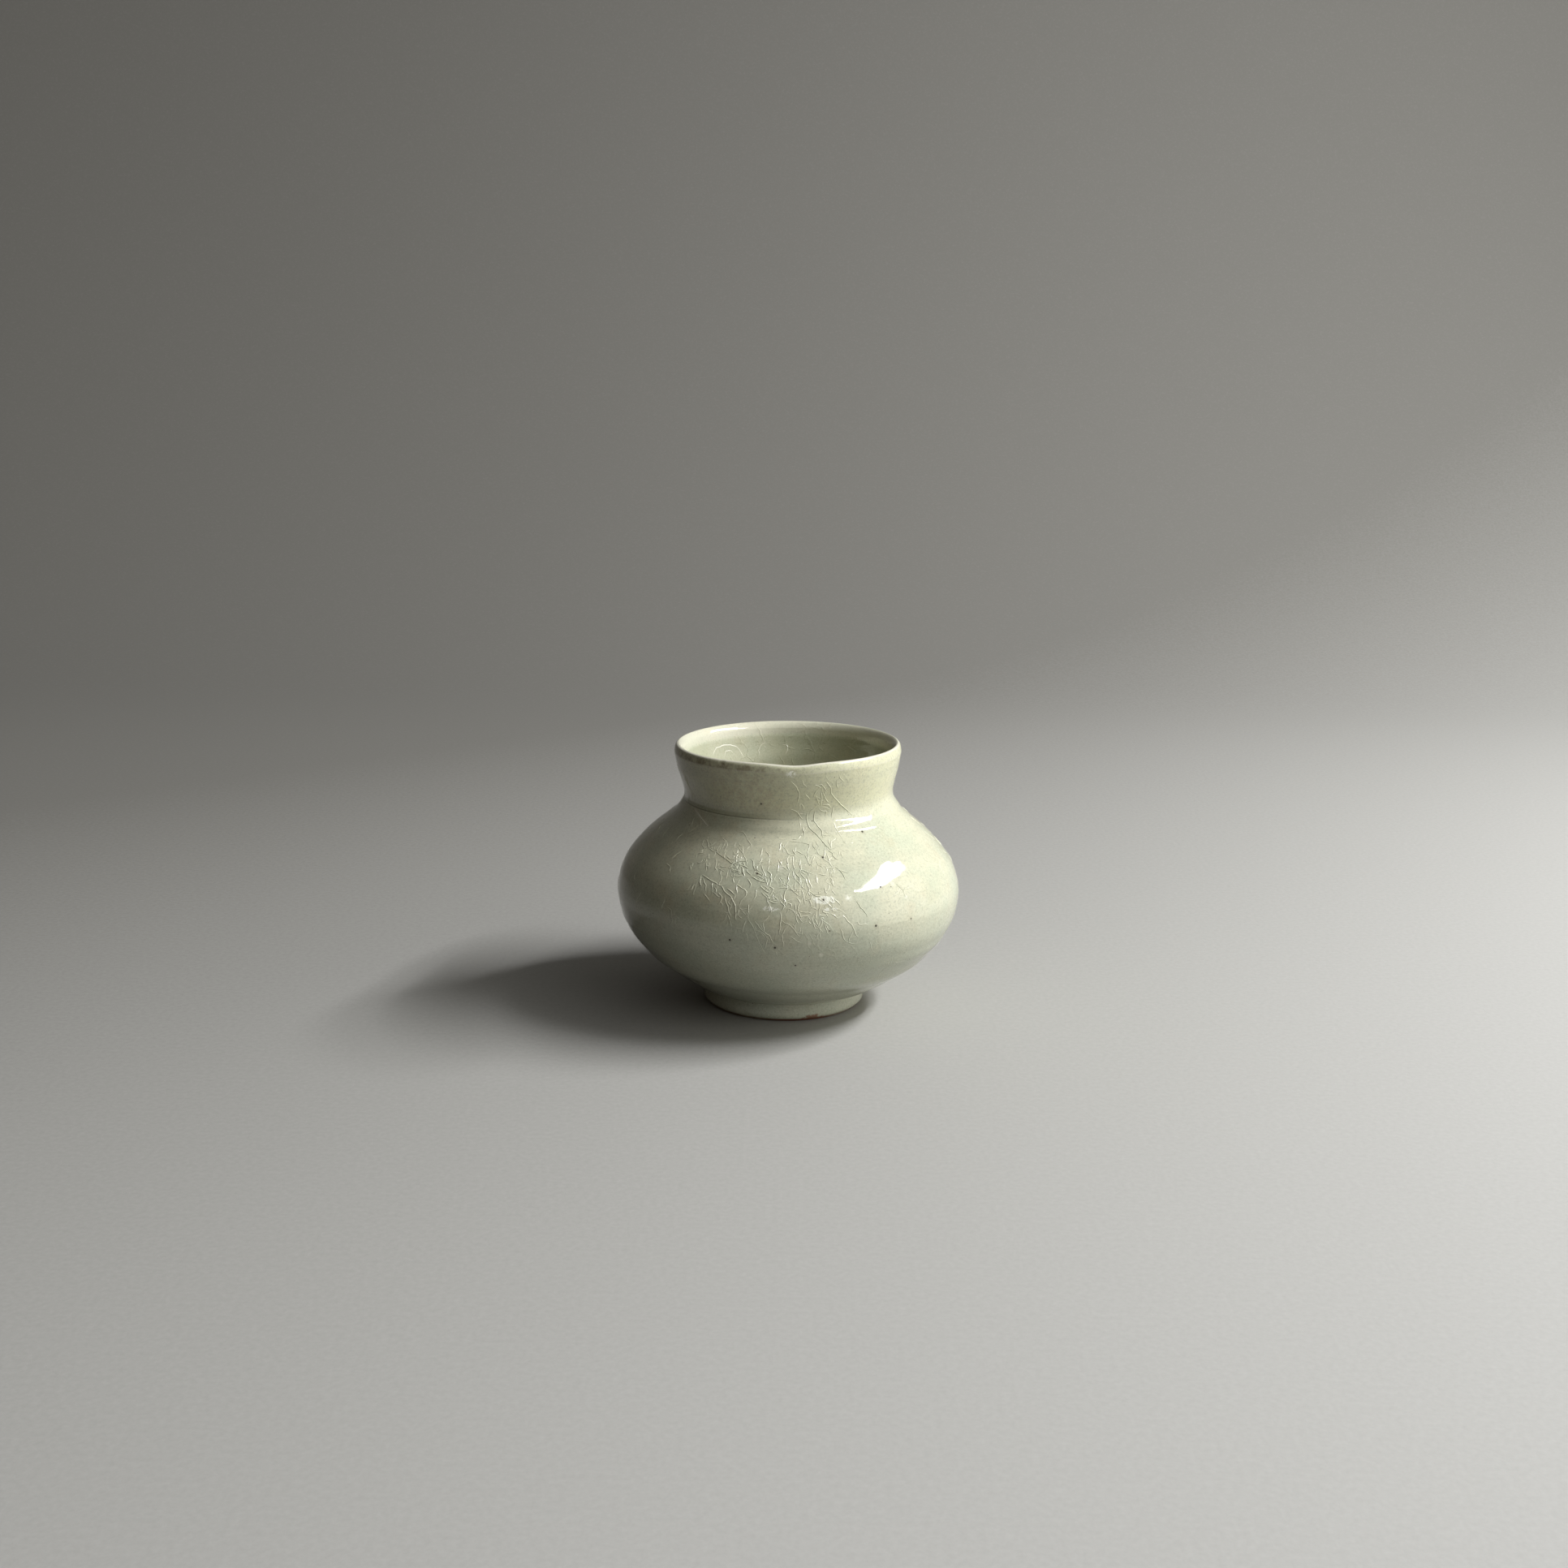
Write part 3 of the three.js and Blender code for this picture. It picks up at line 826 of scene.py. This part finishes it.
        # Thin glaze over the rim: an olive-brown mottled band under a pale, warm crest; the pale
        # crest line is partly a painted highlight.
        band = between(tree, height, 75.2, 76.7, 0.2)
        left_front = near(tree, mm, on_outside(-128, 74.4), 22, 12)
        band = add(
            tree, "ShaderNodeMath", {0: band, 1: left_front}, operation="MULTIPLY"
        ).outputs[0]
        worn = add(
            tree,
            "ShaderNodeTexNoise",
            {"Vector": mm, "Scale": 0.5, "Detail": 4.0, "Roughness": 0.7},
        )
        ends = {"Value": worn.outputs["Fac"], "From Min": 0.4, "From Max": 0.65}
        worn = add(tree, "ShaderNodeMapRange", ends, interpolation_type="SMOOTHSTEP").outputs[0]
        brown = add(tree, "ShaderNodeMath", {0: band, 1: worn}, operation="MULTIPLY").outputs[0]
        colour = tinted(tree, colour, brown, 0.62, "8F7F62")
        # The pale crest: thin glaze, and partly a painted highlight along the rim.
        colour = tinted(tree, colour, between(tree, height, 77.1, 78.6, 0.1), 0.65, "F3EFE0")
        colour = tinted(tree, colour, between(tree, height, 74.9, 75.3, 0.12), 0.3, "E4DECB")
        # Buff mottles on the collar's left front.
        collar_side = near(tree, mm, on_outside(-112, 68.9), 11, 7, (1, 1, 1.6))
        collar_side = add(
            tree, "ShaderNodeMath", {0: collar_side, 1: worn}, operation="MULTIPLY"
        ).outputs[0]
        colour = tinted(tree, colour, collar_side, 0.4, "BBA98A")
        # Matte, milky patches where a bubble of glaze was knocked off and healed. Their near-white
        # colour is partly a painted highlight, the window's light scattered by the rough glaze.
        rough = add(
            tree,
            "ShaderNodeTexNoise",
            {"Vector": mm, "Scale": 1.1, "Detail": 3.0, "Roughness": 0.65},
        )
        shake = add(
            tree,
            "ShaderNodeVectorMath",
            {0: rough.outputs["Color"], "Scale": 1.6},
            operation="SCALE",
        )
        shaken = add(tree, "ShaderNodeVectorMath", {0: mm, 1: shake.outputs[0]}, operation="ADD")
        shaken = add(
            tree,
            "ShaderNodeVectorMath",
            {0: shaken.outputs[0], 1: (0.8, 0.8, 0.8)},
            operation="SUBTRACT",
        ).outputs[0]
        patches = [
            near(tree, shaken, on_outside(-78.3, 43.2), 3.4, 0.3, (1, 1, 3.6)),
            near(tree, shaken, on_outside(-76.6, 40.9), 2.0, 0.3, (1, 1, 6.0)),
            near(tree, shaken, on_outside(-70.0, 43.3), 0.8, 0.7, (1, 1, 1.2)),
            near(tree, shaken, on_outside(-88.3, 75.2), 1.2, 0.5, (1, 1, 1.4)),
            near(tree, shaken, on_outside(-95.5, 40.9), 2.2, 0.4, (1, 1, 4.0)),
        ]
        healed_patch_and_glint = most_of(tree, patches)
        ends = {"Value": rough.outputs["Fac"], "From Min": 0.42, "From Max": 0.48}
        broken = add(tree, "ShaderNodeMapRange", ends, interpolation_type="SMOOTHSTEP").outputs[0]
        healed_patch_and_glint = add(
            tree, "ShaderNodeMath", {0: healed_patch_and_glint, 1: broken}, operation="MULTIPLY"
        ).outputs[0]
        # Partly painted highlight: the patches are painted near-white.
        colour = tinted(tree, colour, healed_patch_and_glint, 0.9, "FFFFEE")
        # Iron specks with a faint brown halo, pale spots, and the painted highlight of the streak
        # on the left shoulder.
        iron = most_of(
            tree, [near(tree, mm, on_outside(a, h), 0.9 * r, 0.25 * r) for a, h, r in IRON_SPECKS]
        )
        halo = most_of(
            tree, [near(tree, mm, on_outside(a, h), 2.0 * r, 1.4 * r) for a, h, r in IRON_SPECKS]
        )
        pale_and_glint = most_of(
            tree, [near(tree, mm, on_outside(a, h), r, 0.5 * r) for a, h, r in PALE_SPOTS_AND_STREAK_GLINT]
        )
        colour = tinted(tree, colour, halo, 0.3, "A39C7E")
        # Pale pinholes, and the painted highlight along the crack on the left shoulder.
        colour = tinted(tree, colour, pale_and_glint, 0.6, "F0EEDB")
        colour = tinted(tree, colour, iron, 0.92, "2E261D")
    else:
        # Greener and darker down the inner wall, partly where it lies thick and partly as painted
        # shade inside the mouth; and cream inside the rim, partly thin glaze and partly painted
        # light on the rim's inner bevel.
        ends = {"Value": height, "From Min": 74.0, "From Max": 72.8}
        deep_glaze_and_shade = add(tree, "ShaderNodeMapRange", ends, interpolation_type="SMOOTHSTEP").outputs[0]
        colour = tinted(tree, colour, deep_glaze_and_shade, 0.5, "9A9B7C")
        # Painted light, with thinner glaze: the cream band inside the rim.
        colour = tinted(tree, colour, between(tree, height, 74.0, 78.5, 0.5), 0.5, "E6E1CD")
    # The ridges over healed cracks are painted paler by the amount given: partly thin glaze, partly
    # a painted highlight that makes them show.
    if healed_ridge_highlight:
        inputs = {0: healed_ridge_highlight, 6: colour, 7: srgb("F4F1DE")}
        colour = add(tree, "ShaderNodeMix", inputs, data_type="RGBA").outputs[2]

    # Smaller specks, 0.2 to 0.4 mm, strewn all over.
    strewn = add(tree, "ShaderNodeTexVoronoi", {"Vector": mm, "Scale": 0.32}, feature="F1")
    chance = add(tree, "ShaderNodeSeparateXYZ", {0: strewn.outputs["Color"]}).outputs["X"]
    size = {"Value": chance, "From Min": 0.5, "From Max": 1.0, "To Min": 0.0, "To Max": 0.09}
    size = add(tree, "ShaderNodeMapRange", size).outputs[0]
    inside_it = add(
        tree, "ShaderNodeMath", {0: size, 1: strewn.outputs["Distance"]}, operation="SUBTRACT"
    ).outputs[0]
    ends = {"Value": inside_it, "From Min": 0.0, "From Max": 0.03}
    small = add(tree, "ShaderNodeMapRange", ends, interpolation_type="SMOOTHSTEP").outputs[0]
    colour = tinted(tree, colour, small, 0.75, "5A4E3A")

    # Rust where the glaze thins to nothing over the foot's edge, most of it on one side in front.
    edge_noise = add(
        tree, "ShaderNodeTexNoise", {"Vector": mm, "Scale": 0.35, "Detail": 4.0, "Roughness": 0.65}
    )
    ends = {
        "Value": edge_noise.outputs["Fac"],
        "From Min": 0.3,
        "From Max": 0.7,
        "To Min": -2.6,
        "To Max": -0.6,
    }
    ragged = add(tree, "ShaderNodeMapRange", ends).outputs[0]
    burnt_side = near(tree, mm, (7.5, -22.0, 1.0), 4.0, 4.0)
    ragged = add(
        tree, "ShaderNodeMath", {0: burnt_side, 1: 2.7, 2: ragged}, operation="MULTIPLY_ADD"
    ).outputs[0]
    above = add(tree, "ShaderNodeMath", {0: height, 1: ragged}, operation="SUBTRACT").outputs[0]
    ends = {"Value": above, "From Min": 1.2, "From Max": 0.6}
    rust = add(tree, "ShaderNodeMapRange", ends, interpolation_type="SMOOTHSTEP").outputs[0]
    colour = tinted(tree, colour, rust, 0.85, "8C5A3A")

    ends = {
        "Value": peel.outputs["Fac"],
        "From Min": 0.3,
        "From Max": 0.7,
        "To Min": 0.035,
        "To Max": 0.07,
    }
    if healed_ridge_highlight:
        ends.update({"To Min": 0.22, "To Max": 0.3})
    roughness = add(tree, "ShaderNodeMapRange", ends).outputs[0]
    if outer_side:
        roughness = add(
            tree, "ShaderNodeMath", {0: healed_patch_and_glint, 1: 0.35, 2: roughness}, operation="MULTIPLY_ADD"
        ).outputs[0]
    roughness = add(
        tree, "ShaderNodeMath", {0: rust, 1: 0.5, 2: roughness}, operation="MULTIPLY_ADD"
    ).outputs[0]
    bump = add(tree, "ShaderNodeBump", {"Height": relief, "Distance": MM, "Strength": 1.0})
    shader = add(
        tree,
        "ShaderNodeBsdfPrincipled",
        {"Base Color": colour, "Roughness": roughness, "IOR": 1.5, "Normal": bump.outputs[0]},
    )
    add(tree, "ShaderNodeOutputMaterial", {"Surface": shader.outputs[0]})
    return material


def burnt_clay(name):
    """Porcelain clay with some iron, bare where the jar stood, burnt rust-orange in the last air.

    It is dry and matte, with fine sandy grains that the wet turning tool drew up.
    """
    material, tree = new_material(name)
    mm, height = place(tree)
    grain = add(
        tree, "ShaderNodeTexNoise", {"Vector": mm, "Scale": 1.6, "Detail": 5.0, "Roughness": 0.65}
    )
    burn = add(tree, "ShaderNodeTexNoise", {"Vector": mm, "Scale": 0.14, "Detail": 3.0})
    ends = {"Value": burn.outputs["Fac"], "From Min": 0.35, "From Max": 0.65}
    burnt = add(tree, "ShaderNodeMapRange", ends, interpolation_type="SMOOTHSTEP").outputs[0]
    colours = {0: burnt, 6: srgb("8B7A64"), 7: srgb("A8977F")}
    colour = add(tree, "ShaderNodeMix", colours, data_type="RGBA").outputs[2]
    hottest = near(tree, mm, (4.0, -22.0, 0.0), 9.0, 5.0)
    colour = tinted(tree, colour, hottest, 0.85, "7A452B")
    ends = {"Value": grain.outputs["Fac"], "From Min": 0.5, "From Max": 0.75}
    sandy = add(tree, "ShaderNodeMapRange", ends, interpolation_type="SMOOTHSTEP").outputs[0]
    colour = tinted(tree, colour, sandy, 0.45, "5C3A28")
    bump = add(
        tree,
        "ShaderNodeBump",
        {"Height": grain.outputs["Fac"], "Distance": 0.08 * MM, "Strength": 0.8},
    )
    shader = add(
        tree,
        "ShaderNodeBsdfPrincipled",
        {"Base Color": colour, "Roughness": 0.85, "IOR": 1.5, "Normal": bump.outputs[0]},
    )
    add(tree, "ShaderNodeOutputMaterial", {"Surface": shader.outputs[0]})
    return material


# ---- The pieces ----

outer_coat_glaze = celadon_glaze("celadon_glaze_outside", True)
inner_coat_glaze = celadon_glaze("celadon_glaze_inside", False)
# The ridges' glazes carry a painted highlight: paler by 0.1 outside and 0.5 inside.
outer_ridge_glaze = celadon_glaze("celadon_glaze_outer_ridges", True, 0.1)
inner_ridge_glaze = celadon_glaze("celadon_glaze_inner_ridges", False, 0.5)
clay = burnt_clay("burnt_porcelain_clay")

outer = turned("outer_glaze_coat", outer_profile, outer_relief)
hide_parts("outer_glaze")
inner = turned("inner_glaze_coat", inner_profile, inner_relief)
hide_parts("inner_glaze")
outer_cracks = crackle_ridges(
    "glaze_crackle_ridges", skin(outside, outer_relief), LONG_CRACKS, CRACKLED, 7
)
inner_cracks = crackle_ridges(
    "inner_crackle_ridges", skin(inside[::-1], inner_relief), INNER_CRACKS, [], 3
)
well = turned("foot_well_coat", well_profile, turns=160)
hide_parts("foot_well_glaze")
ring = turned("turned_foot_ring", ring_profile, turns=240)
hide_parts("foot_ring")
for piece, material, slot in (
    (outer, outer_coat_glaze, "glaze"),
    (inner, inner_coat_glaze, "glaze"),
    (outer_cracks, outer_ridge_glaze, "glaze"),
    (inner_cracks, inner_ridge_glaze, "glaze"),
    (well, inner_coat_glaze, "glaze"),
    (ring, clay, "clay"),
):
    piece.data.materials.append(material)

hidden_glaze = {
    "outer_glaze": outer_coat_glaze,
    "inner_glaze": inner_coat_glaze,
    "foot_well_glaze": inner_coat_glaze,
}
for node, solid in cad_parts.items():
    solid.data.materials.clear()
    solid.data.materials.append(hidden_glaze.get(node, clay))

# ---- Floor, light and camera ----


def sweep(name, half_width, front, back, radius, top):
    """A floor that curves up into a backdrop."""
    path = [(front, 0.0), (back, 0.0)]
    path += [
        (back + radius * math.sin(a), radius - radius * math.cos(a))
        for a in np.linspace(0, math.pi / 2, 24)[1:]
    ]
    path.append((back + radius, top))
    points = [(x, y, z) for y, z in path for x in (-half_width, half_width)]
    faces = [(2 * i, 2 * i + 1, 2 * i + 3, 2 * i + 2) for i in range(len(path) - 1)]
    mesh = bpy.data.meshes.new(name)
    mesh.from_pydata(points, [], faces)
    mesh.polygons.foreach_set("use_smooth", [True] * len(mesh.polygons))
    piece = bpy.data.objects.new(name, mesh)
    bpy.context.scene.collection.objects.link(piece)
    return piece


def matte_paper(name):
    """Uncoated studio paper: flat, pale and without shine.

    It looks pale to the camera and in the glaze, and throws less light up at the jar than that,
    least on the side away from the window.
    """
    material, tree = new_material(name)
    rays = add(tree, "ShaderNodeLightPath").outputs
    seen = most_of(
        tree, [rays["Is Camera Ray"], rays["Is Glossy Ray"], rays["Is Transmission Ray"]]
    )
    spot = add(tree, "ShaderNodeTexCoord").outputs["Object"]
    across = add(tree, "ShaderNodeSeparateXYZ", {0: spot}).outputs["X"]
    ends = {"Value": across, "From Min": -0.12, "From Max": 0.12}
    right = add(tree, "ShaderNodeMapRange", ends, interpolation_type="SMOOTHSTEP").outputs[0]
    tones = {0: right, 6: srgb("4A4947"), 7: srgb("A6A5A1")}
    thrown = add(tree, "ShaderNodeMix", tones, data_type="RGBA").outputs[2]
    # Where it is seen, painted light: the paper is painted paler towards the window and a deeper
    # grey at the back and away from it, as the window's light falls off.
    fading = add(
        tree, "ShaderNodeVectorMath", {0: spot, 1: (0.95, -1.08, -0.4)}, operation="DOT_PRODUCT"
    ).outputs["Value"]
    ends = {"Value": fading, "From Min": -0.55, "From Max": 0.5}
    painted_window_falloff = add(tree, "ShaderNodeMapRange", ends).outputs[0]
    fibres = add(
        tree,
        "ShaderNodeTexNoise",
        {"Vector": spot, "Scale": 700.0, "Detail": 4.0, "Roughness": 0.7},
    )
    painted_window_falloff = add(
        tree,
        "ShaderNodeMath",
        {0: fibres.outputs["Fac"], 1: 0.35, 2: painted_window_falloff},
        operation="MULTIPLY_ADD",
    ).outputs[0]
    painted_window_falloff = add(
        tree, "ShaderNodeMath", {0: painted_window_falloff, 1: 0.175}, operation="SUBTRACT"
    ).outputs[0]
    # Painted light fall-off: the paler tone lies towards the window.
    tones = {0: painted_window_falloff, 6: srgb("84827C"), 7: srgb("C9C8C3")}
    shown = add(tree, "ShaderNodeMix", tones, data_type="RGBA").outputs[2]
    tones = {0: seen, 6: thrown, 7: shown}
    tone = add(tree, "ShaderNodeMix", tones, data_type="RGBA").outputs[2]
    shader = add(tree, "ShaderNodeBsdfPrincipled", {"Base Color": tone, "Roughness": 0.95})
    add(tree, "ShaderNodeOutputMaterial", {"Surface": shader.outputs[0]})
    return material


backdrop = sweep("studio_sweep", 4.0, -2.5, 0.5, 0.6, 2.6)
backdrop.data.materials.append(matte_paper("studio_paper"))


def towards_room(azimuth, elevation):
    """A direction from the jar. Azimuth 0 is towards the camera, and 90 is to the right."""
    azimuth, elevation = math.radians(azimuth), math.radians(elevation)
    level = math.cos(elevation)
    return Vector((math.sin(azimuth) * level, -math.cos(azimuth) * level, math.sin(elevation)))


def window_pane(name, corners, material):
    """A flat glowing pane. From the jar it fills the outline of (azimuth, elevation) corners."""
    facing = towards_room(*WINDOW_MIDDLE)
    points = [towards_room(*corner) for corner in corners]
    points = [JAR_MIDDLE + point * (WINDOW_DISTANCE / point.dot(facing)) for point in points]
    mesh = bpy.data.meshes.new(name)
    mesh.from_pydata([tuple(point) for point in points], [], [tuple(range(len(points)))])
    mesh.materials.append(material)
    piece = bpy.data.objects.new(name, mesh)
    bpy.context.scene.collection.objects.link(piece)


# A soft window on the right, as a broad pane and a narrow one over it with a thin bar between
# them, cut off aslant at the left by its curtain.
WINDOW_DISTANCE, WINDOW_GLOW = 1.1, 106.0
WINDOW_MIDDLE = (77, 45)
JAR_MIDDLE = Vector((0, 0, 40 * MM))
glow, glow_tree = new_material("window_glow")
light_out = add(glow_tree, "ShaderNodeEmission", {"Color": srgb("FBFCFF"), "Strength": WINDOW_GLOW})
add(glow_tree, "ShaderNodeOutputMaterial", {"Surface": light_out.outputs[0]})
LOWER_PANE = [
    (57, 46.2), (63, 45.2), (69, 43.8), (76.5, 42.8), (87, 42), (97.5, 40.4), (106, 37.4),
    (109.6, 36), (111.2, 36.7), (111.4, 38), (109.6, 39.6), (107, 40.6), (103, 41), (97, 42),
    (87, 43.9), (76, 44.9), (66, 45.9),
]
UPPER_PANE = [
    (66, 47), (76, 46.6), (87, 45.8), (97, 43.9), (103, 42.7), (106, 42.4), (106.5, 44.2),
    (97.5, 46), (91, 46.9), (83, 47.5), (74, 47.8),
]
window_pane("window_lower_pane", LOWER_PANE, glow)
window_pane("window_upper_pane", UPPER_PANE, glow)

# The room: dark and warm to the left, lighter overhead, and lightest low down on the right.
world = bpy.data.worlds.new("studio")
world.use_nodes = True
room = world.node_tree
room.nodes.clear()
direction = add(room, "ShaderNodeTexCoord").outputs["Generated"]
towards = add(
    room, "ShaderNodeVectorMath", {0: direction, 1: (0.45, -0.1, 0.89)}, operation="DOT_PRODUCT"
)
ends = {"Value": towards.outputs["Value"], "From Min": 0.0, "From Max": 0.9}
lighter = add(room, "ShaderNodeMapRange", ends, interpolation_type="SMOOTHSTEP").outputs[0]
tones = {0: lighter, 6: srgb("473B31"), 7: srgb("8F8F8D")}
tone = add(room, "ShaderNodeMix", tones, data_type="RGBA").outputs[2]
walls_and_ceiling = add(room, "ShaderNodeBackground", {"Color": tone, "Strength": 0.5})
to_right = add(
    room, "ShaderNodeVectorMath", {0: direction, 1: (0.95, -0.26, 0.15)}, operation="DOT_PRODUCT"
)
ends = {"Value": to_right.outputs["Value"], "From Min": 0.45, "From Max": 1.0, "To Max": 1.35}
to_right = add(room, "ShaderNodeMapRange", ends, interpolation_type="SMOOTHSTEP").outputs[0]
window_wall = add(room, "ShaderNodeBackground", {"Color": srgb("F3F3F0"), "Strength": to_right})
both = add(
    room, "ShaderNodeAddShader", {0: walls_and_ceiling.outputs[0], 1: window_wall.outputs[0]}
)
# Where a view looks past the backdrop, the camera sees plain grey.
past = add(room, "ShaderNodeBackground", {"Color": srgb("A3A29E"), "Strength": 1.0})
looked_at = add(room, "ShaderNodeLightPath").outputs["Is Camera Ray"]
shown = add(room, "ShaderNodeMixShader", {0: looked_at, 1: both.outputs[0], 2: past.outputs[0]})
add(room, "ShaderNodeOutputWorld", {"Surface": shown.outputs[0]})
bpy.context.scene.world = world
bpy.context.scene.view_settings.view_transform = "Standard"

# The camera looks down on the jar a little, and is turned slightly in its frame.
FRAME_PIXELS, FOCAL_PIXELS, SENSOR_WIDTH = 1932, 2300, 36
CAMERA_PLACE = (-1.78 * MM, -530.5 * MM, 182.45 * MM)
LOOKING_DOWN, ROLL = math.radians(12.52), math.radians(1.0)
camera_data = bpy.data.cameras.new("camera")
camera_data.sensor_width = SENSOR_WIDTH
camera_data.lens = SENSOR_WIDTH * FOCAL_PIXELS / FRAME_PIXELS
camera = bpy.data.objects.new("camera", camera_data)
camera.location = CAMERA_PLACE
tilt = Matrix.Rotation(math.pi / 2 - LOOKING_DOWN, 4, "X")
camera.rotation_euler = (tilt @ Matrix.Rotation(ROLL, 4, "Z")).to_euler()
bpy.context.scene.collection.objects.link(camera)
bpy.context.scene.camera = camera
